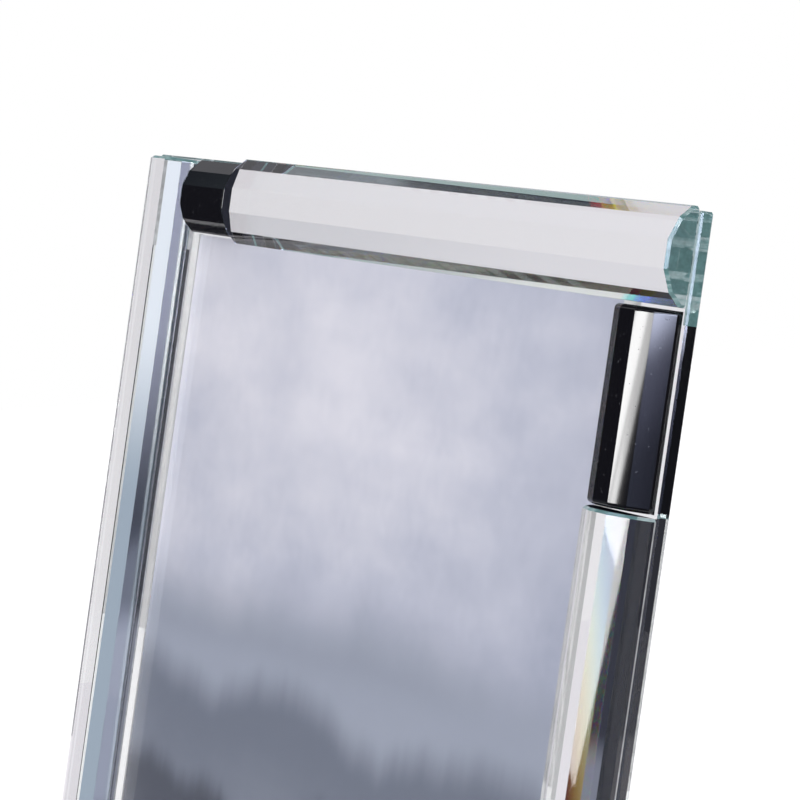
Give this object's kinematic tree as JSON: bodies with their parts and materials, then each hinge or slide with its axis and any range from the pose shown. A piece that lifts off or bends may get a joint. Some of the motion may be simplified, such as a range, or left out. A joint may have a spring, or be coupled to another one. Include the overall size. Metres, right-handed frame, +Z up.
{
  "type": "glass photo frame",
  "caption": "Leaning table-top photo frame of clear faceted glass bars and black glass blocks bonded round a glass plate, with a slide-in print pocket and a hinged stand leg.",
  "frame": {"origin": "on the table, in the middle of the standing frame's footprint", "axes": "+X to the frame's right as seen from the front, +Y to the back, +Z up"},
  "size_m": [0.1646, 0.0634, 0.2099],
  "materials": {
    "clear_glass": "polished",
    "black_glass": "polished",
    "white_foam": "matt",
    "photo_paper": "satin print",
    "black_velvet": "flocked",
    "hinge_steel": "nickel plated"
  },
  "bodies": {
    "frame": {"front_glass": "clear_glass", "left_bar": "clear_glass", "top_bar": "clear_glass", "right_bar": "clear_glass", "bottom_bar": "clear_glass", "left_block": "black_glass", "top_block": "black_glass", "right_block": "black_glass", "bottom_block": "black_glass", "left_strip": "white_foam", "right_strip": "white_foam", "bottom_strip": "white_foam", "back_board": "black_velvet", "board_leaf": "hinge_steel", "board_rivets": "hinge_steel", "hinge_pin": "hinge_steel"},
    "leg": {"stand_leg": "black_velvet", "leg_leaf": "hinge_steel", "leg_rivets": "hinge_steel"},
    "print": {"photo_print": "photo_paper"}
  },
  "joints": [
    {"name": "leg_hinge", "type": "hinge", "parent": "frame", "child": "leg", "pos_m": [0, 0.00492, 0.14702], "axis": [1, 0, 0], "range_deg": [-19.5, 0]},
    {"name": "print_slide", "type": "slide", "parent": "frame", "child": "print", "axis": [0, 0.165, 0.9863], "range_m": [0, 0.15]}
  ]
}
